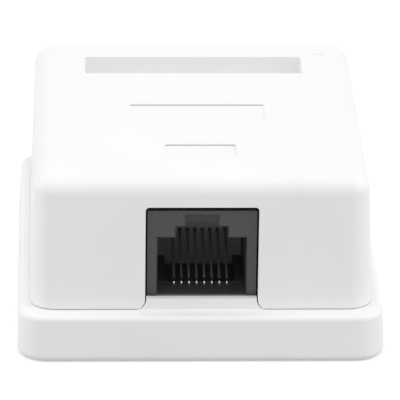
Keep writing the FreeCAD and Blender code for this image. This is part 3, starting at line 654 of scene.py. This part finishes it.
def add_fillet(mesh, across, along, pad, tail):
    """Adds a hollow sided cone of solder from a pad's radius to the tail's; all in mm."""
    rise = [(tail + (pad - tail) * (1 - part) ** fillet_hollow, -fillet_length * part)
            for part in (0, 0.15, 0.3, 0.5, 0.75, 1)]
    profile = [(0, 0.05), (pad, 0.05), *rise, (0, -fillet_length)]
    turned(mesh, profile, Vector((across, along, board_under)) * MM, steps=20)


mesh = bmesh.new()
for number in range(1, 9):
    tail_middle = middle_of(f"contact_{number}").x
    tail_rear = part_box(f"contact_{number}")[1].y / MM
    add_fillet(mesh, tail_middle, tail_rear - wire_half, wire_pad, wire_tail)
    post = middle_of(f"terminal_{number}")
    add_fillet(mesh, post.x, post.y, post_pad, post_tail)
make_piece("solder_joints", mesh, solder)

# ---- Foam tape
# Closed cell polyethylene foam that sticks the base to the wall, cut to fit the recess under it. It
# is white and dull, and its cut cells show as dimples, drawn at 0.45 mm for the real 0.3 mm.

foam, tree = new_material("polyethylene_foam")
place = node(tree, "TexCoord").outputs["Object"]
cells = node(tree, "TexVoronoi", {"Vector": place, "Scale": per_mm(0.45)})
tone = node(tree, "ValToRGB", {"Fac": cells.outputs["Distance"]})
tone.color_ramp.elements[0].color = linear("D6D6D0")
tone.color_ramp.elements[1].color = linear("EBEBE6")
relief = node(tree, "Bump", {
    "Height": cells.outputs["Distance"],
    "Strength": 0.5,
    "Distance": 0.08 * MM,
})
skin = node(tree, "BsdfPrincipled", {
    "Base Color": tone.outputs["Color"],
    "Roughness": 0.85,
    "Normal": relief.outputs["Normal"],
})
node(tree, "OutputMaterial", {"Surface": skin.outputs["BSDF"]})
finish_nodes(["adhesive_pad"], foam)

# ---- Floor, light and camera
# A white table top in a pale room, under a large soft lamp and between two soft panels, so that the
# sides are a little brighter than the front. A small window high on the right shades the right end
# of the label pocket. The lens is long and looks down at 23 degrees.


def in_view(tree):
    """A socket that is 1 for what is seen, straight, mirrored or through glass, and 0 for light."""
    rays = node(tree, "LightPath")
    straight = node(tree, "Math", {
        0: rays.outputs["Is Camera Ray"],
        1: rays.outputs["Is Glossy Ray"],
    }, operation="MAXIMUM")
    through = node(tree, "Math", {
        0: straight.outputs["Value"],
        1: rays.outputs["Is Transmission Ray"],
    }, operation="MAXIMUM")
    return through.outputs["Value"]


floor_glow, room_light = 0.45, 0.655

tabletop, tree = new_material("white_table_top")
lift = node(tree, "Math", {0: in_view(tree), 1: floor_glow}, operation="MULTIPLY")
glow = node(tree, "Emission", {"Strength": lift.outputs["Value"]})
matte = node(tree, "BsdfDiffuse", {"Color": linear("CDCDCD")})
both = node(tree, "AddShader", {0: matte.outputs["BSDF"], 1: glow.outputs["Emission"]})
node(tree, "OutputMaterial", {"Surface": both.outputs["Shader"]})

gap_under_tape = 0.02 * MM
mesh = bmesh.new()
bmesh.ops.create_circle(mesh, cap_ends=True, segments=64, radius=3.0)
bmesh.ops.translate(mesh, verts=mesh.verts, vec=(0, 0, -gap_under_tape))
floor_mesh = bpy.data.meshes.new("floor")
mesh.to_mesh(floor_mesh)
mesh.free()
floor_mesh.materials.append(tabletop)
floor = bpy.data.objects.new("floor", floor_mesh)
bpy.context.scene.collection.objects.link(floor)

room = bpy.data.worlds.new("pale_room")
room.use_nodes = True
room.node_tree.nodes.clear()
tree = room.node_tree
strength = node(tree, "MapRange", {"Value": in_view(tree), "To Min": room_light, "To Max": 1.0})
sky = node(tree, "Background", {
    "Color": (1.0, 1.0, 1.0, 1.0),
    "Strength": strength.outputs["Result"],
})
node(tree, "OutputWorld", {"Surface": sky.outputs["Background"]})
bpy.context.scene.world = room

for name, stand, width, watts in (
    ("softbox", (-0.15, -0.35, 1.45), 1.2, 5.6),
    ("left_panel", (-1.0, 0.0, 0.45), 0.8, 3.1),
    ("right_panel", (1.0, 0.0, 0.45), 0.8, 2.2),
    ("window", (1.1, -0.35, 1.0), 0.3, 3.1),
):
    light = bpy.data.lights.new(name, "AREA")
    light.shape = "SQUARE"
    light.size = width
    light.energy = watts
    lamp = bpy.data.objects.new(name, light)
    lamp.location = stand
    lamp.rotation_euler = (-Vector(stand)).to_track_quat("-Z", "Y").to_euler()
    bpy.context.scene.collection.objects.link(lamp)

lens = bpy.data.cameras.new("long_lens")
lens.sensor_width = 36.0
lens.lens = 384.4
lens.clip_start = 0.05
lens.clip_end = 20.0
camera = bpy.data.objects.new("camera", lens)
stand = Vector((-20.00, -542.75, 241.65)) * MM
right = Vector((0.99938, -0.03244, 0.01297)).normalized()
upwards = Vector((0.00074, 0.39092, 0.92042))
ahead = upwards.cross(right).normalized()
facing = Matrix((right, right.cross(ahead).normalized(), -ahead)).transposed()
camera.matrix_world = Matrix.Translation(stand) @ facing.to_4x4()
bpy.context.scene.collection.objects.link(camera)
bpy.context.scene.camera = camera
bpy.context.scene.view_settings.view_transform = "Standard"
